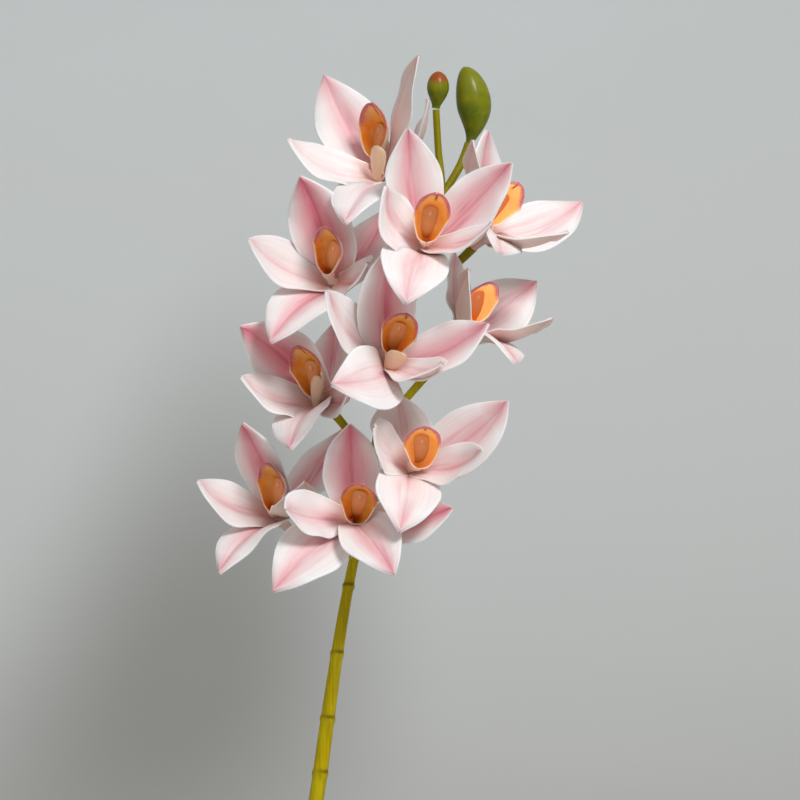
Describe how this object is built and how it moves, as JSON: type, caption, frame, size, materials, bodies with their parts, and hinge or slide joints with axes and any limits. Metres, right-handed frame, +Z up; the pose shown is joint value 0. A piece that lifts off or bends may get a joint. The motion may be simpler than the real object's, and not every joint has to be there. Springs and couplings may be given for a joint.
{
  "type": "potted orchid",
  "caption": "Orchid in a plain round pot: one leaning spike of open blooms with scoop-shaped lips, buds at its top, and strap leaves arching from bulbs.",
  "frame": {"origin": "centre of the pot's flat underside", "axes": "+Z up, from the surface the pot stands on; -Y is the front, which the blooms face; +X is to the right seen from the front, the way the spike leans"},
  "size_m": [0.5158, 0.4121, 0.6386],
  "materials": {
    "pot": "satin",
    "bark": "matte",
    "bulb": "satin",
    "leaf": "satin",
    "stem": "satin",
    "bud": "satin",
    "tepal": "matte",
    "lip": "satin",
    "column": "satin"
  },
  "bodies": {
    "root": {"pot": "pot", "potting_bark": "bark", "shoot_right_bulb": "bulb", "shoot_right_leaves": "leaf", "shoot_left_bulb": "bulb", "shoot_left_leaves": "leaf", "shoot_back_bulb": "bulb", "shoot_back_leaves": "leaf", "flower_spike": "stem", "bud_top": "bud", "bud_side": "bud", "bloom_a_tepals": "tepal", "bloom_a_lip": "lip", "bloom_a_column": "column", "bloom_b_tepals": "tepal", "bloom_b_lip": "lip", "bloom_b_column": "column", "bloom_c_tepals": "tepal", "bloom_c_lip": "lip", "bloom_c_column": "column", "bloom_d_tepals": "tepal", "bloom_d_lip": "lip", "bloom_d_column": "column", "bloom_e_tepals": "tepal", "bloom_e_lip": "lip", "bloom_e_column": "column", "bloom_f_tepals": "tepal", "bloom_f_lip": "lip", "bloom_f_column": "column", "bloom_g_tepals": "tepal", "bloom_g_lip": "lip", "bloom_g_column": "column", "bloom_h_tepals": "tepal", "bloom_h_lip": "lip", "bloom_h_column": "column", "bloom_i_tepals": "tepal", "bloom_i_lip": "lip", "bloom_i_column": "column", "bloom_j_tepals": "tepal", "bloom_j_lip": "lip", "bloom_j_column": "column"}
  },
  "joints": []
}
